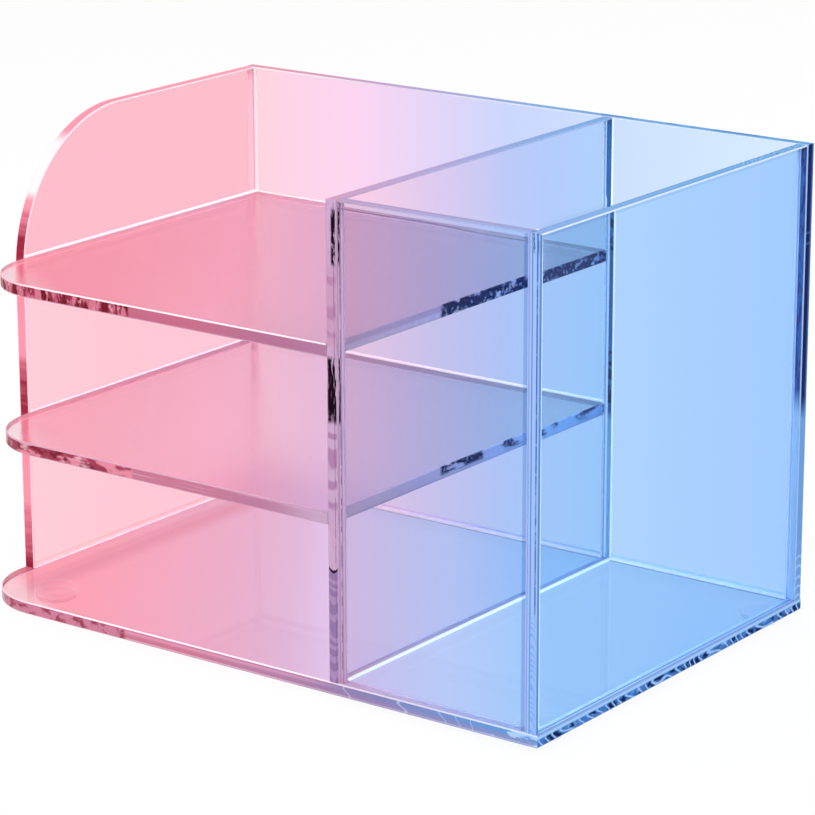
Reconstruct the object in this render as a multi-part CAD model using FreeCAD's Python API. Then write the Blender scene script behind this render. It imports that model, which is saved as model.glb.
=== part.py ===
import FreeCAD
import Part

import math
import os

from FreeCAD import Vector

# A clear acrylic organizer: flat sheets bonded edge to face, with three open shelf levels on the left
# and a tall open-topped bin on the right. Millimetres, X to the right, Y to the back, Z up.
# The origin is on the surface it stands on, under the middle of the base.

# Overall sizes
width = 220.0  # outer faces of the base, left to right
depth = 148.0  # outer faces of the base, front to back
panel_height = 147.0  # every upright panel, from the base to its top edge
sheet = 4.0  # thickness of the acrylic that all the panels are cut from

# How the sheets are joined and finished
bond_line = 0.1  # film of cement left between two bonded faces
arris_radius = 0.4  # round that polishing leaves along the edges of a sheet's faces

# Layout
bin_width = 67.0  # clear width of the tall bin
lower_bay_height = 49.0  # clear height from the base to the lower shelf
middle_bay_height = 47.0  # clear height from the lower shelf to the upper shelf

# Rounded corners
plate_corner_radius = 24.0  # front left corner of the base and of both shelves
side_corner_radius = 48.0  # top front corner of the left side panel
side_setback = 2.0  # from the end of the base's round back to the left side panel

# Clear stick-on feet
foot_diameter = 13.0
foot_height = 1.6
foot_taper = 0.8  # how much its radius narrows towards the table
foot_side_gap = 1.5  # from the foot to the side of the base
foot_end_gap = 7.0  # from the foot to the front or back of the base
corner_foot_side_gap = 15.0  # the foot behind the base's round: to the side
corner_foot_front_gap = 10.5  # and to the front

# Planes that the sheets share, worked out from the sizes above
left = -width / 2
right = width / 2
front = -depth / 2
back = depth / 2
base_bottom = foot_height + bond_line
base_top = base_bottom + sheet
panel_bottom = base_top + bond_line
panel_top = panel_bottom + panel_height
back_face = back - sheet
sheet_end = back_face - bond_line
left_face = left + sheet
right_face = right - sheet
divider_right = right_face - bin_width
divider_left = divider_right - sheet
lower_shelf_bottom = base_top + lower_bay_height
upper_shelf_bottom = lower_shelf_bottom + sheet + middle_bay_height

# Where the middle of a quarter round lies, as a share of its radius from the square corner
quarter_middle_share = 1 - math.sqrt(1 / 2)


def polish(solid):
    """Rounds the arrises of a sheet's two broad faces, as sanding and flame polishing do."""
    broad_faces = sorted(solid.Faces, key=lambda face: face.Area)[-2:]
    arrises = broad_faces[0].Edges + broad_faces[1].Edges
    return solid.makeFillet(arris_radius, arrises).Solids[0]


def square_panel(low, high):
    """A sheet cut square, from its lowest corner to its highest."""
    size = high - low
    return polish(Part.makeBox(size.x, size.y, size.z, low))


def round_cornered_panel(corner, first_side, second_side, across, radius):
    """A sheet with one rounded corner: its two sides run from there, and across is its thickness."""
    first_way = Vector(first_side).normalize()
    second_way = Vector(second_side).normalize()
    round_start = corner + second_way * radius
    round_middle = corner + (first_way + second_way) * (radius * quarter_middle_share)
    round_end = corner + first_way * radius
    first_end = corner + first_side
    far_corner = corner + first_side + second_side
    second_end = corner + second_side
    outline = Part.Wire(
        [
            Part.Arc(round_start, round_middle, round_end).toShape(),
            Part.makeLine(round_end, first_end),
            Part.makeLine(first_end, far_corner),
            Part.makeLine(far_corner, second_end),
            Part.makeLine(second_end, round_start),
        ]
    )
    return polish(Part.Face(outline).extrude(across))


def base_plate():
    """The full footprint, with its front left corner rounded. Everything else stands on it."""
    corner = Vector(left, front, base_bottom)
    thickness = Vector(0, 0, sheet)
    return round_cornered_panel(
        corner, Vector(width, 0, 0), Vector(0, depth, 0), thickness, plate_corner_radius
    )


def shelf(bottom):
    """A shelf between the left side panel and the divider, flush with the base at the front."""
    corner = Vector(left_face + bond_line, front, bottom)
    across = Vector(divider_left - bond_line - corner.x, 0, 0)
    inward = Vector(0, sheet_end - front, 0)
    return round_cornered_panel(corner, across, inward, Vector(0, 0, sheet), plate_corner_radius)


def left_side_panel():
    """The left side, set back behind the base's round and swept down at its top front corner."""
    corner = Vector(left, front + plate_corner_radius + side_setback, panel_top)
    inward = Vector(0, sheet_end - corner.y, 0)
    down = Vector(0, 0, -panel_height)
    return round_cornered_panel(corner, inward, down, Vector(sheet, 0, 0), side_corner_radius)


def back_panel():
    """The back, over the full width, which closes the ends of the sides and of the divider."""
    return square_panel(Vector(left, back_face, panel_bottom), Vector(right, back, panel_top))


def divider_panel():
    """The upright between the shelves and the bin."""
    return square_panel(
        Vector(divider_left, front, panel_bottom), Vector(divider_right, sheet_end, panel_top)
    )


def right_side_panel():
    """The right side, which is the bin's outer wall."""
    return square_panel(Vector(right_face, front, panel_bottom), Vector(right, sheet_end, panel_top))


def bin_front_panel():
    """The bin's front, set between the divider and the right side."""
    low = Vector(divider_right + bond_line, front, panel_bottom)
    high = Vector(right_face - bond_line, front + sheet, panel_top)
    return square_panel(low, high)


def foot(x, y):
    """A clear bumper stuck under the base: a low disc that narrows to its flat underside."""
    radius = foot_diameter / 2
    return Part.makeCone(radius - foot_taper, radius, foot_height, Vector(x, y, 0))


def feet():
    """One foot near each corner. The one behind the base's round stands further in."""
    radius = foot_diameter / 2
    side_inset = foot_side_gap + radius
    end_inset = foot_end_gap + radius
    corner_x = left + corner_foot_side_gap + radius
    corner_y = front + corner_foot_front_gap + radius
    return {
        "foot_front_left": foot(corner_x, corner_y),
        "foot_front_right": foot(right - side_inset, front + end_inset),
        "foot_rear_left": foot(left + side_inset, back - end_inset),
        "foot_rear_right": foot(right - side_inset, back - end_inset),
    }


pieces = {
    "base_plate": base_plate(),
    "left_side_panel": left_side_panel(),
    "back_panel": back_panel(),
    "divider_panel": divider_panel(),
    "right_side_panel": right_side_panel(),
    "bin_front_panel": bin_front_panel(),
    "lower_shelf": shelf(lower_shelf_bottom),
    "upper_shelf": shelf(upper_shelf_bottom),
}
pieces.update(feet())

os.makedirs("parts", exist_ok=True)
for name, piece in pieces.items():
    piece.exportStep("parts/" + name + ".step")
    print(name, piece.ShapeType, len(piece.Solids), piece.isValid(), round(piece.Volume, 1))
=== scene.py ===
import math

import bpy
from mathutils import Matrix, Vector


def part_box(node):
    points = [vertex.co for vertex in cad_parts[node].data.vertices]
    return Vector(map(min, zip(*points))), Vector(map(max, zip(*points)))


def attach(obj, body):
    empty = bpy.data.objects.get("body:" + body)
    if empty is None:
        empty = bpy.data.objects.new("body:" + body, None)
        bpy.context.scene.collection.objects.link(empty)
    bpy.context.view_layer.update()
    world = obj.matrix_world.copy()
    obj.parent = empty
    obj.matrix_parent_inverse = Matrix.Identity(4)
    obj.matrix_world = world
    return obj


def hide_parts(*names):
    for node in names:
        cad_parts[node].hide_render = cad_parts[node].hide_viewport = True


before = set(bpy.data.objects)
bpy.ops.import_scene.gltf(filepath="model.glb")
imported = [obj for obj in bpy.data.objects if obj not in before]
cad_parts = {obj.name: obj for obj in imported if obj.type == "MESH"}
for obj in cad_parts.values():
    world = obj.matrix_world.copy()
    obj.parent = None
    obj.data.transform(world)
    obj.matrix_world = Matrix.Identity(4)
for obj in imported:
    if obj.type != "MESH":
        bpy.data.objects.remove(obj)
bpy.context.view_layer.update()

feet = ("foot_front_left", "foot_front_right", "foot_rear_left", "foot_rear_right")
X_AXIS, Y_AXIS, Z_AXIS = range(3)
LEFT, RIGHT = (-1, 0, 0), (1, 0, 0)
FRONT, BACK = (0, -1, 0), (0, 1, 0)
DOWN, UP = (0, 0, -1), (0, 0, 1)

# Camera at the photograph's angle, in metres and degrees. The image is square.
camera_place = Vector((0.64556, -0.86262, 0.38122))
camera_azimuth = 36.397
camera_elevation = 16.254
camera_roll = -0.119
camera_lens = 157.81
camera_sensor = 36.0
camera_reach = 20.0

# Rounds and lines of cement, in metres and degrees
arris_radius = 0.0004
arris_segments = 3
corner_segments = 32
smooth_angle = 40.0
base_corner_radius = 0.024
side_corner_radius = 0.048
bead_radius = 0.0008
thin_bead = 0.0004
shelf_bead = 0.0005
bead_segments = 4
bead_fullness = 0.9
base_bead_start = -0.06
upper_bead_end = -0.07
bond_line = 0.0001
foot_vertices = 48
foot_segments = 6
foot_dome = 0.6

# Planes that marks start from, in metres
base_left = -0.1100
shelf_left = -0.1059
divider_middle = 0.037
panel_foot = 0.0058
lower_shelf_top = 0.0587
upper_shelf_top = 0.1097

# How faces, edges and clear joints bend light, and how hazy the faces are
face_index = 1.15
edge_index = 1.49
clear_index = 1.05
rubber_index = 1.04
face_roughness = 0.02
shelf_roughness = 0.2

# Edges and joints: how clear they are, their roughness and their gloss
polished_edge = (0.0, 0.2, 0.0)
sawn_edge = (0.0, 0.2, 0.02)
shelf_edge = (0.1, 0.15, 0.04)
bonded = (0.0, 0.3, 0.02)
clear_bonded = (0.2, 0.3, 0.05)

# Studio light: everywhere, added where it is seen, taken from a low band, and added inside the acrylic
studio_light = 0.6
seen_light = 0.4
band_dim = 0.15
inner_light = 1.4

# Floor, in metres, the share of shadow that it shows, and how often light may bounce
floor_size = 6
floor_gap = 0.0003
floor_shade = 0.08
light_bounces = 40

# The dye runs from pink at the left front to blue at the right back, along this direction
dye_way = Vector((math.cos(math.radians(camera_azimuth)), math.sin(math.radians(camera_azimuth)), 0))

# Light that one sheet lets through, by its place along the dye, in metres
face_dyes = {
    "acrylic_base": (
        (-0.10, (1.0, 0.355, 0.455)),
        (-0.05, (0.83, 0.43, 0.60)),
        (-0.03, (0.75, 0.48, 0.695)),
        (-0.01, (0.76, 0.61, 0.92)),
        (0.02, (0.64, 0.69, 1.0)),
        (0.05, (0.415, 0.625, 0.99)),
        (0.13, (0.51, 0.73, 0.955)),
    ),
    "acrylic_lower_shelf": (
        (-0.13, (1.0, 0.62, 0.69)),
        (-0.05, (1.0, 0.81, 0.915)),
        (-0.01, (0.81, 0.78, 0.91)),
        (0.05, (0.735, 0.85, 0.91)),
    ),
    "acrylic_upper_shelf": (
        (-0.13, (1.0, 0.46, 0.545)),
        (-0.05, (1.0, 0.68, 0.78)),
        (-0.01, (0.78, 0.605, 0.75)),
        (0.05, (0.73, 0.73, 0.805)),
    ),
    "acrylic_left_side": (
        (-0.13, (1.0, 0.64, 0.71)),
        (-0.09, (1.0, 0.59, 0.665)),
        (-0.04, (1.0, 0.58, 0.705)),
    ),
    "acrylic_back": (
        (-0.05, (1.0, 0.66, 0.715)),
        (-0.01, (0.985, 0.675, 0.89)),
        (0.04, (0.605, 0.675, 0.985)),
        (0.08, (0.62, 0.765, 1.0)),
        (0.13, (0.70, 0.85, 1.0)),
    ),
    "acrylic_divider": (
        (-0.01, (1.0, 0.925, 0.90)),
        (0.03, (0.895, 0.87, 0.945)),
        (0.05, (0.755, 0.86, 0.975)),
        (0.09, (0.64, 0.865, 1.0)),
    ),
    "acrylic_right_side": (
        (0.05, (0.745, 0.91, 0.985)),
        (0.09, (0.59, 0.79, 1.0)),
        (0.13, (0.495, 0.70, 1.0)),
    ),
    "acrylic_bin_front": (
        (-0.01, (0.80, 0.875, 0.93)),
        (0.02, (0.775, 0.90, 0.965)),
        (0.05, (0.83, 0.97, 1.0)),
    ),
}

# Colours of edges and joints, by place along the dye
top_tones = (
    (-0.035, (0.74, 0.32, 0.42)),
    (0.004, (0.50, 0.36, 0.60)),
    (0.050, (0.235, 0.40, 0.735)),
    (0.090, (0.175, 0.39, 0.73)),
    (0.130, (0.15, 0.385, 0.75)),
)
shelf_tones = (
    (-0.060, (0.50, 0.13, 0.21)),
    (-0.026, (0.40, 0.15, 0.27)),
    (0.010, (0.36, 0.23, 0.41)),
)
base_tones = (
    (-0.060, (0.56, 0.20, 0.305)),
    (-0.030, (0.415, 0.22, 0.385)),
    (-0.017, (0.28, 0.195, 0.375)),
    (0.000, (0.21, 0.215, 0.44)),
    (0.027, (0.13, 0.285, 0.60)),
    (0.050, (0.10, 0.30, 0.66)),
    (0.130, (0.08, 0.27, 0.60)),
)
joint_tones = (
    (-0.035, (0.72, 0.26, 0.36)),
    (0.004, (0.50, 0.38, 0.58)),
    (0.050, (0.20, 0.34, 0.66)),
)
pale_joint_tones = (
    (-0.060, (1.0, 0.96, 0.97)),
    (-0.020, (1.0, 0.96, 0.99)),
    (0.010, (0.94, 0.94, 1.0)),
    (0.050, (0.80, 0.92, 1.0)),
)
left_foot_tones = (
    (-0.100, (1.0, 0.84, 0.76)),
    (-0.040, (1.0, 0.86, 0.80)),
)
shelf_joint_tones = (
    (-0.100, (0.92, 0.50, 0.55)),
    (-0.045, (0.86, 0.52, 0.60)),
    (0.010, (0.66, 0.56, 0.72)),
    (0.060, (0.52, 0.64, 0.84)),
)
front_left_tones = (
    (-0.020, (0.74, 0.41, 0.575)),
    (0.000, (0.72, 0.415, 0.58)),
)
left_edge_tones = (
    (-0.115, (0.88, 0.29, 0.38)),
    (-0.080, (0.93, 0.31, 0.41)),
    (-0.040, (0.96, 0.36, 0.47)),
)
clear_tones = (
    (-0.060, (1.0, 0.82, 0.86)),
    (0.010, (0.90, 0.88, 0.96)),
    (0.050, (0.80, 0.92, 1.0)),
)
foot_joint_tones = (
    (0.040, (0.41, 0.62, 0.95)),
    (0.130, (0.33, 0.54, 0.95)),
)
rear_tones = (
    (-0.035, (0.60, 0.20, 0.30)),
    (0.004, (0.30, 0.18, 0.36)),
    (0.070, (0.040, 0.16, 0.40)),
    (0.130, (0.035, 0.13, 0.37)),
)
end_tones = (
    (-0.060, (0.62, 0.16, 0.26)),
    (0.130, (0.14, 0.33, 0.68)),
)
front_tones = (
    (-0.035, (0.66, 0.38, 0.50)),
    (-0.014, (0.52, 0.34, 0.51)),
    (0.010, (0.47, 0.43, 0.68)),
    (0.045, (0.30, 0.46, 0.82)),
)
shelf_end_tones = (
    (-0.030, (0.58, 0.39, 0.56)),
    (0.010, (0.48, 0.40, 0.62)),
    (0.050, (0.42, 0.55, 0.82)),
)
void_tones = (
    (-0.035, (0.12, 0.002, 0.018)),
    (0.004, (0.005, 0.002, 0.035)),
    (0.050, (0.002, 0.010, 0.105)),
)
# Pale tones of the arrises, painted as their highlights; the foot of the base front and the rims of the
# feet take them too
arris_tones = (
    (-0.125, (0.93, 0.54, 0.62)),
    (-0.098, (0.96, 0.82, 0.86)),
    (-0.035, (0.95, 0.82, 0.86)),
    (0.004, (0.72, 0.64, 0.77)),
    (0.050, (0.64, 0.76, 0.91)),
)
# Near white tones of the cement beads, painted as the highlight along each line of cement
bead_highlight_tones = (
    (-0.035, (1.0, 0.92, 0.93)),
    (0.050, (0.95, 0.97, 1.0)),
)
burgundy = (0.26, 0.016, 0.05)
deep_burgundy = (0.14, 0.004, 0.012)
deep_navy = (0.002, 0.010, 0.085)
pale_pink = (0.95, 0.52, 0.60)
dye_start = -0.14
dye_end = 0.14


class Value:
    """A socket of a shader tree, so that shader maths is written as plain expressions."""

    def __init__(self, tree, socket):
        self.tree = tree
        self.socket = socket

    def maths(self, operation, *others):
        inputs = {i: other for i, other in enumerate((self, *others))}
        return self.tree.node("ShaderNodeMath", {"operation": operation}, inputs)

    def flipped(self, operation, other):
        return self.tree.node("ShaderNodeMath", {"operation": operation}, {0: other, 1: self})

    def __add__(self, other):
        return self.maths("ADD", other)

    def __sub__(self, other):
        return self.maths("SUBTRACT", other)

    def __mul__(self, other):
        return self.maths("MULTIPLY", other)

    def __pow__(self, other):
        return self.maths("POWER", other)

    def __rsub__(self, other):
        return self.flipped("SUBTRACT", other)

    __radd__ = __add__
    __rmul__ = __mul__


class Tree:
    """The node tree of one material or of the world."""

    def __init__(self, owner):
        owner.use_nodes = True
        self.nodes = owner.node_tree.nodes
        self.links = owner.node_tree.links
        self.nodes.clear()

    def node(self, kind, settings=None, inputs=None, output=0):
        """Adds a node: its settings are set first, then its sockets get values or links."""
        made = self.nodes.new(kind)
        for name, setting in (settings or {}).items():
            if name == "stops":
                self.stops(made.color_ramp, setting)
            else:
                setattr(made, name, setting)
        for name, value in (inputs or {}).items():
            if isinstance(value, Value):
                self.links.new(value.socket, made.inputs[name])
            else:
                made.inputs[name].default_value = value
        return Value(self, made.outputs[output] if made.outputs else None)

    def stops(self, ramp, stops):
        """Gives a colour ramp its stops, as pairs of place and colour."""
        while len(ramp.elements) < len(stops):
            ramp.elements.new(1.0)
        for element, (place, colour) in zip(ramp.elements, stops):
            element.position = place
            element.color = (*colour, 1.0)


def select_edges(piece, chosen):
    """Selects, in edit mode, the edges for which chosen gives True, by their two ends."""
    mesh = piece.data
    for part in (mesh.vertices, mesh.edges, mesh.polygons):
        part.foreach_set("select", [False] * len(part))
    for edge in mesh.edges:
        a, b = (mesh.vertices[i].co for i in edge.vertices)
        edge.select = chosen(a, b)
    bpy.ops.object.mode_set(mode="EDIT")
    bpy.context.tool_settings.mesh_select_mode = (False, True, False)


def same(a, b):
    """True for two lengths that differ by less than a thousandth of a millimetre."""
    return abs(a - b) < 1e-6


def round_edges(piece, chosen, radius, segments):
    select_edges(piece, chosen)
    bpy.ops.mesh.bevel(offset=radius, segments=segments, profile=0.5, affect="EDGES")
    bpy.ops.object.mode_set(mode="OBJECT")


broad_face_weight = 100


def soften(piece):
    """Smooths the rounds and keeps the broad faces flat."""
    bpy.ops.object.shade_smooth_by_angle(angle=math.radians(smooth_angle))
    bpy.ops.object.modifier_add(type="WEIGHTED_NORMAL")
    modifier = piece.modifiers[-1]
    modifier.keep_sharp = True
    modifier.weight = broad_face_weight
    bpy.ops.object.modifier_apply(modifier=modifier.name)


FACE, HIGHLIGHT_ARRIS, SOFT, EDGE = range(4)
# How squarely a normal meets a way, from 0 to 1: full on, just leaning to it, or hardly at all
full_on = 0.99
leaning = 0.1
hardly = 0.05


def facing(normal, ways, least):
    """The place of the first way that a face looks along, or None."""
    for place, way in enumerate(ways):
        if normal.dot(Vector(way)) > least:
            return place
    return None


def arris_slot(normal, edges, plain, white):
    """An arris is soft, or painted pale as a highlight, where that is asked for.

    Otherwise it follows the edge that it belongs to.
    """
    if facing(normal, plain, leaning) is not None:
        return SOFT
    if facing(normal, white, leaning) is not None:
        return HIGHLIGHT_ARRIS
    place = facing(normal, edges, leaning)
    if place is not None:
        return EDGE + 1 + place
    # Arrises that face up get the painted highlight, the others stay soft
    return HIGHLIGHT_ARRIS if normal.z > leaning else SOFT


def finish_faces(piece, axis, face, edge, edges, plain, white):
    """Gives each face its material: broad face, arris, or the finish of the edge it belongs to."""
    for material in [face, highlight_arris, soft, edge] + list(edges.values()):
        piece.data.materials.append(material)
    for polygon in piece.data.polygons:
        square = abs(polygon.normal[axis])
        if square > full_on:
            polygon.material_index = FACE
        elif square > hardly:
            polygon.material_index = arris_slot(polygon.normal, edges, plain, white)
        else:
            place = facing(polygon.normal, edges, full_on)
            polygon.material_index = EDGE if place is None else EDGE + 1 + place


def add_box(name, low, high):
    bpy.ops.object.select_all(action="DESELECT")
    bpy.ops.mesh.primitive_cube_add(size=1, location=(low + high) / 2, scale=high - low)
    piece = bpy.context.object
    piece.name = piece.data.name = name
    bpy.ops.object.transform_apply(location=True, rotation=True, scale=True)
    return piece


def sheet_piece(
    name, node, axis, edge, edges, rounded=None, radius=0.0, plain=(), white=(), face_marks=None,
):
    """A polished sheet in the place of a node.

    axis is its thickness, and rounded finds the corner to round.
    """
    low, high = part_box(node)
    piece = add_box(name, low, high)
    if rounded:

        def at_corner(a, b):
            return rounded(a, low, high) and rounded(b, low, high)

        round_edges(piece, at_corner, radius, corner_segments)
    round_edges(piece, lambda a, b: same(a[axis], b[axis]), arris_radius, arris_segments)
    soften(piece)
    roughness = shelf_roughness if node.endswith("shelf") else face_roughness
    face = clear_acrylic(name + "_face", face_dyes[name], face_marks, roughness)
    finish_faces(piece, axis, face, edge, edges, plain, white)
    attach(piece, "root")
    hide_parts(node)
    return piece


def cement_bead(sheet, start, end, ways, size=bead_radius):
    """The small rounded line of cement along an inside corner, joined to its sheet.

    The two ways lead out of the corner.
    """
    out = Vector(ways[0]) + Vector(ways[1])
    start, end = Vector(start) + out * bond_line, Vector(end) + out * bond_line
    reach = out * size
    corners = [start, end, start + reach, end + reach]
    low = Vector([min(c[i] for c in corners) for i in range(3)])
    high = Vector([max(c[i] for c in corners) for i in range(3)])
    bead = add_box("bead", low, high)

    def outermost(a, b):
        return {nearest(a, corners), nearest(b, corners)} == {2, 3}

    round_edges(bead, outermost, bead_fullness * size, bead_segments)
    bpy.ops.object.shade_smooth_by_angle(angle=math.radians(smooth_angle))
    bead.data.materials.append(cement)
    bpy.ops.object.select_all(action="DESELECT")
    bead.select_set(True)
    sheet.select_set(True)
    bpy.context.view_layer.objects.active = sheet
    bpy.ops.object.join()


def nearest(point, places):
    return min(range(len(places)), key=lambda i: (places[i] - point).length)


def front_left_corner(point, low, high):
    return same(point.x, low.x) and same(point.y, low.y)


def top_front_corner(point, low, high):
    return same(point.y, low.y) and same(point.z, high.z)


def ramp_stops(stops):
    span = dye_end - dye_start
    return [((place - dye_start) / span, colour) for place, colour in stops]


def dye_place(tree):
    """Where a point lies along the dye, from 0 to 1."""
    place = tree.node("ShaderNodeTexCoord", output="Object")
    along = tree.node(
        "ShaderNodeVectorMath", {"operation": "DOT_PRODUCT"}, {0: place, 1: dye_way}, output="Value",
    )
    return (along - dye_start) * (1 / (dye_end - dye_start))


def dye_colour(tree, stops):
    return tree.node("ShaderNodeValToRGB", {"stops": ramp_stops(stops)}, {"Fac": dye_place(tree)})


def glass(tree, colour, index, roughness=face_roughness):
    return tree.node(
        "ShaderNodeBsdfPrincipled",
        None,
        {
            "Base Color": colour,
            "Roughness": roughness,
            "IOR": index,
            "Transmission Weight": 1.0,
            "Specular Tint": (0.1, 0.1, 0.1, 1),
        },
    )


def clear_acrylic(name, stops, marks=None, roughness=face_roughness):
    """Clear dyed acrylic, tinted where light goes through it."""
    material = bpy.data.materials.new(name)
    tree = Tree(material)
    colour = dye_colour(tree, stops)
    for mask, over in marks(tree) if marks else ():
        colour = blend(tree, mask, colour, over)
    tree.node("ShaderNodeOutputMaterial", None, {"Surface": glass(tree, colour, face_index, roughness)})
    return material


def step(tree, value, low, high):
    """Rises smoothly from 0 at low to 1 at high, or falls where low is above high."""
    if low > high:
        return 1 - step(tree, value, high, low)
    return tree.node(
        "ShaderNodeMapRange",
        {"interpolation_type": "SMOOTHSTEP"},
        {"Value": value, "From Min": low, "From Max": high},
    )


def coordinate(tree, axis):
    place = tree.node("ShaderNodeTexCoord", output="Object")
    return tree.node("ShaderNodeSeparateXYZ", None, {"Vector": place}, output=axis)


def patches(tree, stretch, low, high, detail=3.0):
    """Patchy noise with its own stretch in x, y and z, from 0 to 1."""
    place = tree.node("ShaderNodeTexCoord", output="Object")
    wide = tree.node("ShaderNodeVectorMath", {"operation": "MULTIPLY"}, {0: place, 1: stretch})
    noise = tree.node(
        "ShaderNodeTexNoise",
        None,
        {"Vector": wide, "Scale": 1.0, "Detail": detail, "Roughness": 0.6},
    )
    return step(tree, noise, low, high)


def band(tree, axis, low, high, fade=0.0004):
    """1 between two places on an axis, with soft ends."""
    place = coordinate(tree, axis)
    return step(tree, place, low - fade, low + fade) * step(tree, place, high + fade, high - fade)


def swirls(tree, along, up, middle, period, swing):
    """S-shaped bands across one axis, from 0 to 1, swinging with the height and drifting at random."""
    drift = patches(tree, (60.0, 60.0, 60.0), 0.2, 0.8, 0.0) * 12.0
    lean = ((coordinate(tree, up) - middle) * 1500.0).maths("SINE") * swing
    turn = (coordinate(tree, along) + lean) * (2 * math.pi / period) + drift
    return turn.maths("SINE") * 0.5 + 0.5


def ripples(tree, across, middle, bow, period, drift):
    """Bowed bands up a narrow upright edge, from 0 to 1."""
    off = coordinate(tree, across) - middle
    wander = patches(tree, (40.0, 40.0, 130.0), 0.2, 0.8, 0.0) * drift
    turn = (coordinate(tree, Z_AXIS) - off * off * bow) * (2 * math.pi / period) + wander
    return turn.maths("SINE") * 0.5 + 0.5


def blend(tree, mask, under, over):
    """The colour over laid on the colour under where the mask is 1."""
    return tree.node("ShaderNodeMix", {"data_type": "RGBA"}, {0: mask, 6: under, 7: over}, output=2)


def edge_finish(name, tones, marks, clear, roughness, gloss=0.5, window=None):
    """An edge of a sheet, which gathers the dye of the whole sheet, with marks laid over its tones.

    The edge is clear where window is 1.
    """
    material = bpy.data.materials.new(name)
    tree = Tree(material)
    colour = dye_colour(tree, tones)
    for mask, over in marks(tree) if marks else ():
        colour = blend(tree, mask, colour, over)
    shader = tree.node(
        "ShaderNodeBsdfPrincipled",
        None,
        {
            "Base Color": colour,
            "Roughness": roughness,
            "IOR": edge_index,
            "Transmission Weight": clear,
            "Specular IOR Level": gloss,
        },
    )
    if window:
        see_through = glass(tree, dye_colour(tree, clear_tones), clear_index)
        shader = tree.node("ShaderNodeMixShader", None, {0: window(tree), 1: shader, 2: see_through})
    tree.node("ShaderNodeOutputMaterial", None, {"Surface": shader})
    return material


def clear_rubber():
    """Clear soft rubber with a faint cloudiness."""
    material = bpy.data.materials.new("clear_rubber")
    tree = Tree(material)
    cloud = patches(tree, (300.0, 300.0, 300.0), 0.3, 0.7)
    shader = tree.node(
        "ShaderNodeBsdfPrincipled",
        None,
        {
            "Base Color": blend(tree, cloud, (0.94, 0.96, 0.98, 1), (0.99, 0.99, 1.0, 1)),
            "Roughness": 0.3,
            "IOR": rubber_index,
            "Transmission Weight": 1.0,
            "Specular Tint": (0.2, 0.2, 0.2, 1),
        },
    )
    tree.node("ShaderNodeOutputMaterial", None, {"Surface": shader})
    return material


def pale_rim(tree, end):
    """1 at the left end of a sheet, and 0 from a few millimetres further in."""
    return step(tree, coordinate(tree, X_AXIS), end + 0.0035, end + 0.0010)


def shelf_face_marks(tree):
    """A pale gleam on the rounded corner."""
    gleam = step(tree, coordinate(tree, Y_AXIS) + coordinate(tree, X_AXIS) * 0.6, -0.110, -0.121)
    return [(gleam * 0.75, (1.0, 0.84, 0.88, 1))]


def near_round(tree):
    """1 on the part of a shelf's front edge that the light of its rounded corner reaches."""
    return step(tree, coordinate(tree, X_AXIS), -0.0398, -0.0408)


def shelf_marks(tree):
    """Upright burgundy streaks and pale flecks near the rounded corner of a shelf."""
    near = near_round(tree)
    streaks = patches(tree, (330.0, 240.0, 90.0), 0.42, 0.55) * near
    flecks = patches(tree, (620.0, 420.0, 330.0), 0.58, 0.66) * near
    cores = patches(tree, (420.0, 300.0, 110.0), 0.50, 0.58) * near
    return [
        (near * 0.5, (0.70, 0.20, 0.28, 1)),
        (streaks, (*burgundy, 1)),
        (cores, (*deep_burgundy, 1)),
        (flecks * 0.6, (0.88, 0.44, 0.52, 1)),
        (pale_rim(tree, shelf_left) * 0.7, (*pale_pink, 1)),
    ]


def lower_shelf_marks(tree):
    """Softer burgundy waves and pale gleams near the rounded corner, and pale streaks further on."""
    near = near_round(tree)
    waves = patches(tree, (95.0, 75.0, 220.0), 0.46, 0.54) * near
    gleams = patches(tree, (90.0, 70.0, 330.0), 0.55, 0.66) * near
    cores = patches(tree, (130.0, 100.0, 260.0), 0.53, 0.60) * near
    streaks = patches(tree, (16.0, 16.0, 1100.0), 0.52, 0.62) * (1 - near)
    pale_end = step(tree, coordinate(tree, X_AXIS), 0.010, 0.034)
    return [
        ((1 - near) * 0.15, (0.60, 0.40, 0.55, 1)),
        (streaks * 0.45, (0.78, 0.42, 0.56, 1)),
        (pale_end * 0.6, (0.60, 0.42, 0.58, 1)),
        (near * 0.7, (0.80, 0.28, 0.37, 1)),
        (waves * 0.9, (*burgundy, 1)),
        (cores * 0.8, (*deep_burgundy, 1)),
        (gleams * 0.6, (0.95, 0.56, 0.64, 1)),
        (pale_rim(tree, shelf_left) * 0.7, (*pale_pink, 1)),
    ]


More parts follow.
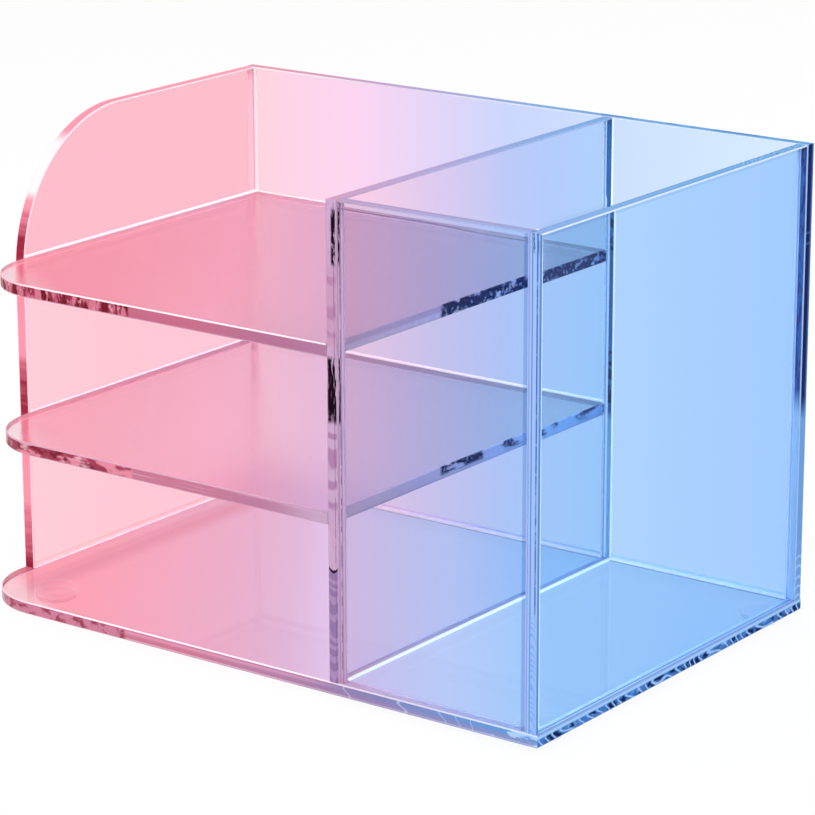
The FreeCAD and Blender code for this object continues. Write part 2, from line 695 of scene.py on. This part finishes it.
def base_marks(tree):
    """Small burgundy spots near the rounded corner, and further on lines along and across the edge."""
    near = step(tree, coordinate(tree, X_AXIS), -0.0440, -0.0460)
    spots = patches(tree, (230.0, 230.0, 300.0), 0.50, 0.60) * near
    low = step(tree, coordinate(tree, Z_AXIS), 0.0042, 0.0030) * (1 - near)
    foot = step(tree, coordinate(tree, Z_AXIS), 0.0027, 0.0023) * (1 - near)
    cross = step(tree, swirls(tree, X_AXIS, Z_AXIS, 0.0037, 0.0150, 0.0012), 0.985, 0.998)
    far = step(tree, coordinate(tree, X_AXIS), 0.025, 0.045)
    corner = step(tree, coordinate(tree, X_AXIS), 0.090, 0.098)
    # Pale blue gleams near the right corner, a painted reflection of the corner
    gleams = patches(tree, (150.0, 150.0, 330.0), 0.50, 0.60)
    line = band(tree, Z_AXIS, 0.0050, 0.0053, 0.0001) * (1 - far)
    pale = band(tree, Z_AXIS, 0.0040, 0.0049, 0.0003) * (1 - near) * (1 - far)
    return [
        (pale * 0.35, (0.86, 0.42, 0.54, 1)),
        (line * 0.5, (0.34, 0.10, 0.20, 1)),
        (low * 0.45, dye_colour(tree, shelf_tones)),
        (foot * 0.35, dye_colour(tree, arris_tones)),
        (spots * 0.85, (*burgundy, 1)),
        (cross * far * 0.5, (0.60, 0.66, 0.92, 1)),
        (gleams * corner * 0.7, (0.52, 0.72, 0.95, 1)),
        (pale_rim(tree, base_left) * 0.7, (*pale_pink, 1)),
    ]


def base_side_marks(tree):
    """Navy saw marks with pale swirls below a pale upper third."""
    body = step(tree, coordinate(tree, Z_AXIS), 0.0047, 0.0041)
    bands = swirls(tree, Y_AXIS, Z_AXIS, 0.003, 0.0050, 0.0012)
    dark = step(tree, bands, 0.95, 0.45) * patches(tree, (60.0, 190.0, 240.0), 0.47, 0.58)
    pale = patches(tree, (60.0, 120.0, 200.0), 0.54, 0.64)
    swirl = step(tree, bands, 0.84, 0.99)
    return [
        (body * 0.85, (0.04, 0.15, 0.48, 1)),
        (pale * body * 0.7, (0.20, 0.42, 0.84, 1)),
        (dark * body, (*deep_navy, 1)),
        (swirl * body * 0.75, (0.40, 0.64, 0.97, 1)),
        (1 - body, (0.33, 0.58, 0.95, 1)),
    ]


def left_edge_marks(tree):
    """A pale gleam on the sweep, and burgundy that deepens towards the foot of each bay."""
    bay_shades = (
        (panel_foot, 0.006, 0.0225),
        (lower_shelf_top, 0.012, 0.0195),
        (upper_shelf_top, 0.008, 0.0160),
    )
    level = coordinate(tree, Z_AXIS)
    gleam = band(tree, Z_AXIS, 0.1285, 0.1450, 0.0020)
    lines = patches(tree, (40.0, 40.0, 420.0), 0.35, 0.60)
    shade = 0.0
    deep = 0.0
    for foot, dark, reach in bay_shades:
        above = step(tree, level, foot - 0.003, foot - 0.002)
        shade = shade + step(tree, level, foot + reach, foot + reach - 0.004) * above
        deep = deep + step(tree, level, foot + dark + 0.003, foot + dark - 0.003) * above
    return [
        (gleam, (1.0, 0.82, 0.85, 1)),
        (shade * (0.5 + lines * 0.4), (0.52, 0.085, 0.145, 1)),
        (deep * (0.7 + lines * 0.3), (0.31, 0.021, 0.050, 1)),
    ]


def left_rear_marks(tree):
    """A deeper line along the inner side, fainter below the upper shelf."""
    line = step(tree, coordinate(tree, X_AXIS), -0.1076, -0.1070)
    above = step(tree, coordinate(tree, Z_AXIS), 0.1067, 0.1087)
    return [(line * (0.35 + above * 0.65), (0.80, 0.46, 0.55, 1))]


def left_foot_marks(tree):
    """A deeper line along the inner side."""
    return [(step(tree, coordinate(tree, X_AXIS), -0.1072, -0.1067) * 0.8, (0.85, 0.42, 0.48, 1))]


def left_face_marks(tree):
    """A deeper pink above the upper shelf."""
    return [(step(tree, coordinate(tree, Z_AXIS), 0.1067, 0.1087), (1.0, 0.515, 0.605, 1))]


def divider_face_marks(tree):
    """A deeper blue just above the upper shelf, towards the back."""
    rear = step(tree, coordinate(tree, Y_AXIS), 0.028, 0.038)
    return [(band(tree, Z_AXIS, 0.1085, 0.1240, 0.0020) * rear * 0.6, (0.44, 0.62, 0.78, 1))]


def rear_joint_marks(tree):
    """Dark blocks just above each shelf, and a pale foot in the lowest bay."""
    blocks = step(tree, ripples(tree, X_AXIS, divider_middle, 0.0, 0.0052, 5.0), 0.10, 0.30)
    specks = patches(tree, (500.0, 60.0, 300.0), 0.40, 0.52)
    low = band(tree, Z_AXIS, lower_shelf_top, 0.0765, 0.0006)
    above = low + band(tree, Z_AXIS, upper_shelf_top, 0.1215, 0.0006)
    foot = step(tree, coordinate(tree, Z_AXIS), 0.057, 0.052)
    return [(foot, (0.34, 0.62, 0.90, 1)), (above * blocks * specks, (*deep_navy, 1))]


def rear_joint_window(tree):
    """The left part of the joint is clear, and less of it at the top."""
    high = step(tree, coordinate(tree, Z_AXIS), 0.126, 0.128)
    return step(tree, coordinate(tree, X_AXIS) + high * 0.0006, 0.0367, 0.0364)


def right_rear_marks(tree):
    """Dark specks in the upper half and a pale lower half."""
    low = step(tree, coordinate(tree, Z_AXIS), 0.076, 0.066)
    specks = patches(tree, (500.0, 500.0, 160.0), 0.44, 0.58)
    return [(specks * 0.7, (0.004, 0.020, 0.14, 1)), (low * 0.9, (0.46, 0.68, 0.90, 1))]


def right_rear_window(tree):
    """The inner part of the joint is clear."""
    return step(tree, coordinate(tree, X_AXIS), 0.1067, 0.1065)


def back_end_marks(tree):
    """Navy with paler sides in the upper half, cross lines, and faint ripples at the foot."""
    level = coordinate(tree, Z_AXIS)
    high = step(tree, level, 0.064, 0.074)
    core = band(tree, Y_AXIS, 0.0700, 0.0728, 0.0005)
    cross = band(tree, Z_AXIS, 0.1213, 0.1219, 0.0003) + band(tree, Z_AXIS, 0.1247, 0.1253, 0.0003)
    cloud = patches(tree, (60.0, 260.0, 60.0), 0.58, 0.75)
    foot = step(tree, ripples(tree, Y_AXIS, 0.072, -300.0, 0.0034, 4.0), 0.70, 0.95)
    return [
        (high, (0.05, 0.15, 0.47, 1)),
        (high * core * (1 - cross * 0.6) * (1 - cloud * 0.6), (*deep_navy, 1)),
        (foot * step(tree, level, 0.026, 0.018) * 0.7, (0.36, 0.60, 0.92, 1)),
    ]


def shelf_end_dark(tree, patch):
    """Navy patches with paler flecks in the rear two thirds of the right end of a shelf."""
    rear = step(tree, coordinate(tree, Y_AXIS), -0.0190, -0.0170)
    flecks = patches(tree, (40.0, 620.0, 760.0), 0.55, 0.65)
    return [
        (patch * rear, dye_colour(tree, void_tones)),
        (flecks * rear * 0.6, (0.26, 0.38, 0.70, 1)),
    ]


def upper_end_marks(tree):
    """Close navy blotches behind a grainy part with a shaded upper half."""
    shade = band(tree, Z_AXIS, 0.1077, 0.1100, 0.0005)
    blotch = patches(tree, (40.0, 280.0, 440.0), 0.34, 0.48)
    grain = patches(tree, (700.0, 700.0, 900.0), 0.40, 0.70)
    return [
        (grain * 0.4, (0.72, 0.56, 0.74, 1)),
        (shade * 0.5, (0.33, 0.20, 0.38, 1)),
    ] + shelf_end_dark(tree, blotch)


def lower_end_marks(tree):
    """A few wider navy patches, and a dark line along the lower arris."""
    line = band(tree, Z_AXIS, 0.0548, 0.0552, 0.0002)
    above = step(tree, coordinate(tree, Z_AXIS), 0.0553, 0.0568)
    blotch = patches(tree, (40.0, 90.0, 280.0), 0.42, 0.54) * above
    return [(line * 0.6, (0.26, 0.20, 0.42, 1))] + shelf_end_dark(tree, blotch)


def divider_streaks(tree, upper, middle):
    """Black plum streaks in the upper part of the upper two bays, by their masks across the edge."""
    grain = patches(tree, (1300.0, 1300.0, 420.0), 0.32, 0.46)
    high = band(tree, Z_AXIS, 0.1335, 0.1500, 0.0010) * grain
    streak = patches(tree, (1400.0, 1400.0, 150.0), 0.38, 0.48)
    low = band(tree, Z_AXIS, 0.0862, 0.1058, 0.0010) * streak
    return (high * upper).maths("MAXIMUM", low * middle)


def divider_front_marks(tree):
    """Soft bowed bands, plum streaks in the upper bays, and ripples below a dark arc at the foot."""
    level = coordinate(tree, Z_AXIS)
    soft_bands = step(tree, ripples(tree, X_AXIS, divider_middle, 250.0, 0.0075, 3.0), 0.35, 0.85)
    held = band(tree, Z_AXIS, 0.0600, 0.0860, 0.0010) + band(tree, Z_AXIS, 0.1120, 0.1320, 0.0010)
    foot_bands = step(tree, ripples(tree, X_AXIS, divider_middle, 420.0, 0.0047, 12.0), 0.20, 0.60)
    foot = step(tree, level, 0.0415, 0.0405)
    dashes = band(tree, X_AXIS, 0.0378, 0.0381, 0.0001) * patches(tree, (60.0, 60.0, 260.0), 0.40, 0.50)
    smile_level = level - (coordinate(tree, X_AXIS) - divider_middle) ** 2.0 * 420.0
    smile = step(tree, (smile_level - 0.0405).maths("ABSOLUTE"), 0.0006, 0.0003)
    streaks = divider_streaks(
        tree, band(tree, X_AXIS, 0.0370, 0.0386, 0.0003), band(tree, X_AXIS, 0.0354, 0.0389, 0.0003),
    )
    return [
        (patches(tree, (420.0, 60.0, 200.0), 0.40, 0.62) * 0.25, (0.42, 0.22, 0.38, 1)),
        (soft_bands * held * 0.85, (0.34, 0.16, 0.32, 1)),
        (band(tree, Z_AXIS, 0.1090, 0.1325, 0.0010) * 0.4, (0.50, 0.21, 0.33, 1)),
        (foot * 0.8, (0.31, 0.20, 0.39, 1)),
        (foot_bands * foot * 0.65, (0.20, 0.115, 0.28, 1)),
        (band(tree, X_AXIS, 0.0348, 0.0353, 0.0001) * 0.6, (0.20, 0.06, 0.17, 1)),
        (dashes * 0.7, (0.20, 0.08, 0.19, 1)),
        (smile, (0.02, 0.004, 0.02, 1)),
        (streaks, (0.010, 0.001, 0.010, 1)),
    ]


def front_left_marks(tree):
    """A dark seam, and plum streaks beside those of the divider, with fine dark dashes between them."""
    fine = band(tree, Y_AXIS, -0.0725, -0.0721, 0.0001) * patches(tree, (60.0, 60.0, 260.0), 0.44, 0.54)
    inner = band(tree, Y_AXIS, -0.0704, -0.0700, 0.0001)
    wide = band(tree, Y_AXIS, -0.0736, -0.0722, 0.0002)
    seam = step(tree, coordinate(tree, Y_AXIS), -0.0731, -0.0733)
    return [
        (seam * 0.9, (0.17, 0.06, 0.15, 1)),
        ((fine + inner * 0.7) * 0.8, (0.10, 0.02, 0.10, 1)),
        (divider_streaks(tree, wide, wide), (0.010, 0.001, 0.010, 1)),
    ]


def front_right_marks(tree):
    """A few upright navy dashes."""
    dashes = patches(tree, (60.0, 500.0, 45.0), 0.60, 0.68)
    return [(dashes * 0.8, (0.03, 0.07, 0.24, 1))]


def right_front_marks(tree):
    """Fine upright lines, the middle one broken, dark chips at the top and ripples at the foot."""
    broken = patches(tree, (60.0, 60.0, 240.0), 0.36, 0.50) * 0.5 + 0.5
    lines = band(tree, X_AXIS, 0.1069, 0.1073, 0.0001) + band(tree, X_AXIS, 0.1095, 0.1100, 0.0001)
    middle = band(tree, X_AXIS, 0.1085, 0.1090, 0.0001) * broken
    foot = step(tree, coordinate(tree, Z_AXIS), 0.046, 0.036)
    curls = step(tree, ripples(tree, X_AXIS, 0.1078, -900.0, 0.0021, 9.0), 0.5, 0.9)
    core = band(tree, X_AXIS, 0.1072, 0.1092, 0.0003)
    high = step(tree, coordinate(tree, Z_AXIS), 0.1460, 0.1490)
    chips = patches(tree, (1500.0, 60.0, 300.0), 0.46, 0.54) * high
    return [
        (chips * core * 0.9, (0.03, 0.06, 0.22, 1)),
        (lines, (0.10, 0.21, 0.50, 1)),
        (middle * (1 - foot), (0.045, 0.13, 0.40, 1)),
        (foot * core * 0.5, (0.22, 0.42, 0.80, 1)),
        (curls * foot * core * 0.5, (0.12, 0.28, 0.64, 1)),
    ]


def front_face_marks(tree):
    """A darker upright band beside the right panel, painted shade of the arris at the sheet's right
    end.

    A thin dark line runs below the top edge, and another beside the divider.
    """
    sag = step(tree, coordinate(tree, X_AXIS), 0.070, 0.105) * 0.0005
    wave = (coordinate(tree, X_AXIS) * 160.0).maths("SINE") * 0.0001
    off = (coordinate(tree, Z_AXIS) - 0.1506 + sag + wave).maths("ABSOLUTE")
    line = step(tree, off, 0.00028, 0.00012)
    seam = band(tree, X_AXIS, 0.0403, 0.0407, 0.0001)
    outer = step(tree, coordinate(tree, Y_AXIS), -0.0732, -0.0736)
    return [
        # painted shade of the arris at the right end
        (band(tree, X_AXIS, 0.1042, 0.1056, 0.0003) * 0.9, (0.29, 0.43, 0.65, 1)),
        (line.maths("MAXIMUM", seam) * outer, (0.30, 0.33, 0.42, 1)),
    ]


def right_top_marks(tree):
    """A darker line along the inner side, a paler one beside it, and smudged saw marks to the rear."""
    inner = band(tree, X_AXIS, 0.1064, 0.1068, 0.0002)
    middle = band(tree, X_AXIS, 0.1076, 0.1079, 0.0001)
    rear = step(tree, coordinate(tree, Y_AXIS), 0.012, 0.050)
    slant = coordinate(tree, Y_AXIS) + coordinate(tree, X_AXIS) * 1.6
    lines = ((slant * 1900.0) + patches(tree, (260.0, 260.0, 260.0), 0.2, 0.8) * 14.0).maths("SINE")
    smudge = patches(tree, (220.0, 150.0, 60.0), 0.36, 0.60) * rear
    return [
        (inner * 0.6, (0.13, 0.29, 0.60, 1)),
        (middle * 0.5, (0.36, 0.60, 0.92, 1)),
        (step(tree, lines, 0.0, 0.9) * smudge * 0.6, (0.07, 0.19, 0.46, 1)),
        (step(tree, lines, -0.3, -0.95) * smudge * 0.5, (0.62, 0.80, 1.0, 1)),
    ]


def back_top_marks(tree):
    """A broken darker line along the rear side, over the bin."""
    rear = step(tree, coordinate(tree, Y_AXIS), 0.0718, 0.0724)
    broken = patches(tree, (75.0, 60.0, 60.0), 0.46, 0.54)
    over_bin = step(tree, coordinate(tree, X_AXIS), 0.020, 0.035)
    return [(broken * rear * over_bin * 0.7, (0.05, 0.17, 0.42, 1))]


def right_foot_marks(tree):
    """Two thin dark lines where the right panel stands on the base."""
    lines = band(tree, X_AXIS, 0.1072, 0.1082, 0.0001) + band(tree, X_AXIS, 0.1093, 0.1100, 0.0001)
    return [(lines * 0.9, (0.05, 0.17, 0.44, 1))]


def right_face_marks(tree):
    """A darker band just below the top edge, painted shade along the top of the sheet."""
    return [(step(tree, coordinate(tree, Z_AXIS), 0.1513, 0.1518) * 0.5, (0.25, 0.46, 0.80, 1))]


def base_face_marks(tree):
    """A painted shadow as a soft darker band beside the left panel, a painted highlight as a pale gleam
    on the round, and pale painted highlights at the feet's rims.
    """
    place = coordinate(tree, X_AXIS)
    shade = step(tree, place, -0.103, -0.098) * step(tree, place, -0.088, -0.095)
    gleam = step(tree, coordinate(tree, Y_AXIS) + place * 0.6, -0.114, -0.124)
    rings = 0.0
    for node in feet:
        rings = rings + foot_ring(tree, *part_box(node))
    return [
        (shade * 0.6, (0.74, 0.24, 0.35, 1)),
        (gleam * 0.5, (1.0, 0.80, 0.84, 1)),
        (rings * 0.18, dye_colour(tree, arris_tones)),
    ]


def foot_ring(tree, low, high):
    """A pale ring on the base over the rim of a foot, painted as the rim's highlight."""
    across = coordinate(tree, X_AXIS) - (low.x + high.x) / 2
    along = coordinate(tree, Y_AXIS) - (low.y + high.y) / 2
    off = (across * across + along * along) ** 0.5 - (high.x - low.x) / 2
    return step(tree, off.maths("ABSOLUTE"), 0.0014, 0.0003)


def front_top_marks(tree):
    """A darker inner band and a thin wavy dark line along the outer side."""
    inner = band(tree, Y_AXIS, -0.0722, -0.0700, 0.0002)
    wave = (coordinate(tree, X_AXIS) * 160.0).maths("SINE") * 0.0002
    line = step(tree, (coordinate(tree, Y_AXIS) + 0.0734 + wave).maths("ABSOLUTE"), 0.00018, 0.00008)
    return [
        (inner * 0.6, (0.36, 0.31, 0.56, 1)),
        ((1 - inner) * 0.4, dye_colour(tree, front_tones)),
        (line * 0.5, (0.16, 0.13, 0.34, 1)),
    ]


# Arrises painted pale, as the highlights that run along the edges
highlight_arris = edge_finish("painted_highlight_arris", arris_tones, None, 0.0, 0.3)
soft = edge_finish("soft_arris", front_tones, None, 0.3, 0.2, 0.2)
# Cement beads painted near white, as their highlight
cement = edge_finish("cement_bead", bead_highlight_tones, None, 0.0, 0.15)
top_edge = edge_finish("top_edge", top_tones, None, *polished_edge)
right_top = edge_finish("right_top_edge", top_tones, right_top_marks, *polished_edge)
back_top = edge_finish("back_top_edge", top_tones, back_top_marks, *polished_edge)
front_top = edge_finish("front_top_edge", top_tones, front_top_marks, *polished_edge)
shelf_front = edge_finish("upper_shelf_front_edge", shelf_tones, shelf_marks, *shelf_edge)
lower_front = edge_finish("lower_shelf_front_edge", shelf_tones, lower_shelf_marks, *shelf_edge)
base_front = edge_finish("base_front_edge", base_tones, base_marks, 0.1, 0.15, 0.15)
base_side = edge_finish("base_side_edge", base_tones, base_side_marks, *sawn_edge)
left_edge = edge_finish("left_edge", left_edge_tones, left_edge_marks, *polished_edge)
divider_front = edge_finish("divider_front_edge", front_tones, divider_front_marks, *sawn_edge)
right_front = edge_finish("right_front_edge", front_tones, right_front_marks, 0.0, 0.2, 0.05)
joint = edge_finish("joint", joint_tones, None, *clear_bonded)
pale_joint = edge_finish("pale_joint", pale_joint_tones, None, *bonded)
shelf_joint = edge_finish("shelf_joint", shelf_joint_tones, None, *bonded)
left_foot = edge_finish("left_foot_joint", left_foot_tones, left_foot_marks, *bonded)
left_rear = edge_finish("left_rear_joint", pale_joint_tones, left_rear_marks, *bonded)
right_foot = edge_finish("right_foot_joint", foot_joint_tones, right_foot_marks, *clear_bonded)
front_left_joint = edge_finish("front_left_joint", front_left_tones, front_left_marks, *bonded)
front_right_joint = edge_finish("front_right_joint", joint_tones, front_right_marks, *bonded)
upper_end = edge_finish("upper_shelf_end", shelf_end_tones, upper_end_marks, *bonded)
lower_end = edge_finish("lower_shelf_end", shelf_end_tones, lower_end_marks, *bonded)
rear_joint = edge_finish("divider_rear_joint", rear_tones, rear_joint_marks, *bonded, rear_joint_window)
right_rear = edge_finish("right_rear_joint", rear_tones, right_rear_marks, *bonded, right_rear_window)
back_end = edge_finish("back_end", end_tones, back_end_marks, *sawn_edge)

base = sheet_piece(
    "acrylic_base", "base_plate", Z_AXIS, base_front, {RIGHT: base_side},
    front_left_corner, base_corner_radius, (RIGHT,), (), base_face_marks,
)
lower = sheet_piece(
    "acrylic_lower_shelf", "lower_shelf", Z_AXIS, lower_front,
    {LEFT: shelf_joint, RIGHT: lower_end, BACK: shelf_joint},
    front_left_corner, base_corner_radius, (FRONT,), face_marks=shelf_face_marks,
)
upper = sheet_piece(
    "acrylic_upper_shelf", "upper_shelf", Z_AXIS, shelf_front,
    {LEFT: shelf_joint, RIGHT: upper_end, BACK: shelf_joint},
    front_left_corner, base_corner_radius, face_marks=shelf_face_marks,
)
left = sheet_piece(
    "acrylic_left_side", "left_side_panel", X_AXIS, left_edge, {DOWN: left_foot, BACK: left_rear},
    top_front_corner, side_corner_radius, (), (FRONT,), left_face_marks,
)
back = sheet_piece(
    "acrylic_back", "back_panel", Y_AXIS, back_top, {DOWN: pale_joint, RIGHT: back_end}, plain=(RIGHT,),
)
divider = sheet_piece(
    "acrylic_divider", "divider_panel", X_AXIS, top_edge,
    {FRONT: divider_front, DOWN: joint, BACK: rear_joint},
    plain=(LEFT, RIGHT), face_marks=divider_face_marks,
)
right = sheet_piece(
    "acrylic_right_side", "right_side_panel", X_AXIS, right_top,
    {FRONT: right_front, DOWN: right_foot, BACK: right_rear},
    plain=(BACK,), face_marks=right_face_marks,
)
front = sheet_piece(
    "acrylic_bin_front", "bin_front_panel", Y_AXIS, front_top,
    {DOWN: joint, LEFT: front_left_joint, RIGHT: front_right_joint}, plain=(FRONT, BACK),
    face_marks=front_face_marks,
)


def foot_piece(node):
    """A clear stick-on bumper with a domed underside, in the place of a foot."""
    low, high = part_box(node)
    bpy.ops.object.select_all(action="DESELECT")
    bpy.ops.mesh.primitive_cylinder_add(
        vertices=foot_vertices,
        radius=(high.x - low.x) / 2,
        depth=high.z - low.z,
        location=(low + high) / 2,
    )
    piece = bpy.context.object
    piece.name = piece.data.name = "bumper_" + node
    bpy.ops.object.transform_apply(location=True, rotation=True, scale=True)

    def underneath(a, b):
        return same(a.z, low.z) and same(b.z, low.z)

    round_edges(piece, underneath, foot_dome * (high.z - low.z), foot_segments)
    bpy.ops.object.shade_smooth_by_angle(angle=math.radians(smooth_angle))
    piece.data.materials.append(bumper)
    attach(piece, "root")
    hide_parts(node)


def add_beads():
    """Cement lines along the inside corners of the bays and of the bin."""
    left_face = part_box("left_side_panel")[1].x
    left_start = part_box("left_side_panel")[0].y
    divider_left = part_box("divider_panel")[0].x
    divider_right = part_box("divider_panel")[1].x
    right_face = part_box("right_side_panel")[0].x
    back_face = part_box("back_panel")[0].y
    front_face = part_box("bin_front_panel")[1].y
    floor_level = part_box("base_plate")[1].z
    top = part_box("divider_panel")[1].z
    top_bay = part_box("upper_shelf")[1].z

    def rise(sheet, x, y, ways, start=floor_level, size=bead_radius):
        cement_bead(sheet, (x, y, start), (x, y, top), ways, size)

    def run_back(sheet, x, start, level, size=bead_radius):
        cement_bead(sheet, (x, start, level), (x, back_face, level), (RIGHT, UP), size)

    def run_across(sheet, start, end, level, size=bead_radius):
        cement_bead(sheet, (start, back_face, level), (end, back_face, level), (FRONT, UP), size)

    for sheet, node, size, start, end, rear_size in (
        (base, "base_plate", thin_bead, base_bead_start, divider_left, bead_radius),
        (lower, "lower_shelf", shelf_bead, left_face, divider_left, bead_radius),
        (upper, "upper_shelf", bead_radius, left_face, upper_bead_end, thin_bead),
    ):
        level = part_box(node)[1].z
        run_back(sheet, left_face, left_start, level, size)
        run_across(sheet, start, end, level, rear_size)
    run_back(base, divider_right, front_face, floor_level)
    run_across(base, divider_right, right_face, floor_level)
    rise(back, left_face, back_face, (RIGHT, FRONT), top_bay)
    rise(back, divider_left, back_face, (LEFT, FRONT))
    rise(back, divider_right, back_face, (RIGHT, FRONT), size=thin_bead)
    rise(back, right_face, back_face, (LEFT, FRONT))
    rise(front, right_face, front_face, (LEFT, BACK))


add_beads()
bumper = clear_rubber()
for node in feet:
    foot_piece(node)


def add_camera():
    """The camera that sees the object as the photograph does."""
    data = bpy.data.cameras.new("photo_camera")
    data.sensor_fit = "HORIZONTAL"
    data.sensor_width = camera_sensor
    data.lens = camera_lens
    data.clip_end = camera_reach
    camera = bpy.data.objects.new("photo_camera", data)
    turn = (
        Matrix.Rotation(math.radians(camera_azimuth), 4, "Z")
        @ Matrix.Rotation(math.radians(90 - camera_elevation), 4, "X")
        @ Matrix.Rotation(math.radians(camera_roll), 4, "Z")
    )
    camera.matrix_world = Matrix.Translation(camera_place) @ turn
    bpy.context.scene.collection.objects.link(camera)
    bpy.context.scene.camera = camera


def seen_directly(tree):
    """1 for what the camera sees directly, in a reflection or through the acrylic."""
    path = tree.node("ShaderNodeLightPath", output="Is Camera Ray")
    source = path.socket.node
    glossy = Value(tree, source.outputs["Is Glossy Ray"])
    through = Value(tree, source.outputs["Is Transmission Ray"])
    return path.maths("MAXIMUM", glossy).maths("MAXIMUM", through)


def add_world():
    """A white studio, a little greyer in a band above the horizon, where the faces mirror it.

    Light that reaches the inside of a joint through the acrylic is raised, so that cement stays white.
    """
    world = bpy.data.worlds.new("studio")
    bpy.context.scene.world = world
    tree = Tree(world)
    seen = seen_directly(tree)
    way = tree.node("ShaderNodeTexCoord", output="Generated")
    rise = tree.node("ShaderNodeSeparateXYZ", None, {"Vector": way}, output=Z_AXIS)
    bounced = tree.node("ShaderNodeLightPath", output="Diffuse Depth")
    unbounced = 1 - bounced.maths("MINIMUM", 1.0)
    dim = step(tree, rise, 0.0, 0.05) * step(tree, rise, 0.34, 0.26) * unbounced
    through = tree.node("ShaderNodeLightPath", output="Is Transmission Ray")
    inside = through * bounced.maths("MINIMUM", 1.0)
    strength = studio_light + seen * (seen_light - dim * band_dim) + inside * inner_light
    light = tree.node("ShaderNodeBackground", None, {"Color": (1, 1, 1, 1), "Strength": strength})
    tree.node("ShaderNodeOutputWorld", None, {"Surface": light})


def add_floor():
    """A white floor that keeps a little of the object's shadow."""
    bpy.ops.object.select_all(action="DESELECT")
    bpy.ops.mesh.primitive_plane_add(size=floor_size, location=(0, 0, -floor_gap))
    floor = bpy.context.object
    floor.name = "floor"
    material = bpy.data.materials.new("floor")
    tree = Tree(material)
    seen = seen_directly(tree)
    paint = tree.node("ShaderNodeBsdfDiffuse", None, {"Color": (0.98, 0.98, 0.98, 1)})
    glow = tree.node("ShaderNodeEmission", None, {"Color": (1, 1, 1, 1), "Strength": 1.0})
    direct = tree.node("ShaderNodeLightPath", output="Is Camera Ray")
    mixed = tree.node("ShaderNodeMixShader", None, {0: seen - direct * floor_shade, 1: paint, 2: glow})
    tree.node("ShaderNodeOutputMaterial", None, {"Surface": mixed})
    floor.data.materials.append(material)


def add_softbox(name, place, size, power):
    """A square lamp aimed at the object, which the faces don't mirror."""
    data = bpy.data.lights.new(name, "AREA")
    data.shape = "RECTANGLE"
    data.size, data.size_y = size
    data.energy = power
    lamp = bpy.data.objects.new(name, data)
    aim = (-Vector(place)).to_track_quat("-Z", "Y").to_matrix().to_4x4()
    lamp.matrix_world = Matrix.Translation(place) @ aim
    lamp.visible_camera = False
    lamp.visible_glossy = False
    bpy.context.scene.collection.objects.link(lamp)


add_camera()
add_world()
add_floor()
add_softbox("left_softbox", (-0.75, -0.37, 1.0), (0.5, 0.5), 4.0)
add_softbox("rear_softbox", (0.4, 1.1, 0.85), (0.5, 0.5), 4.0)
add_softbox("front_softbox", (0.9, -1.3, 0.9), (1.0, 1.0), 14.0)

bpy.context.scene.view_settings.view_transform = "Standard"
# Light that is trapped in a sheet bounces many times before it comes out of an edge
cycles = bpy.context.scene.cycles
cycles.max_bounces = light_bounces
cycles.glossy_bounces = light_bounces
cycles.transmission_bounces = light_bounces
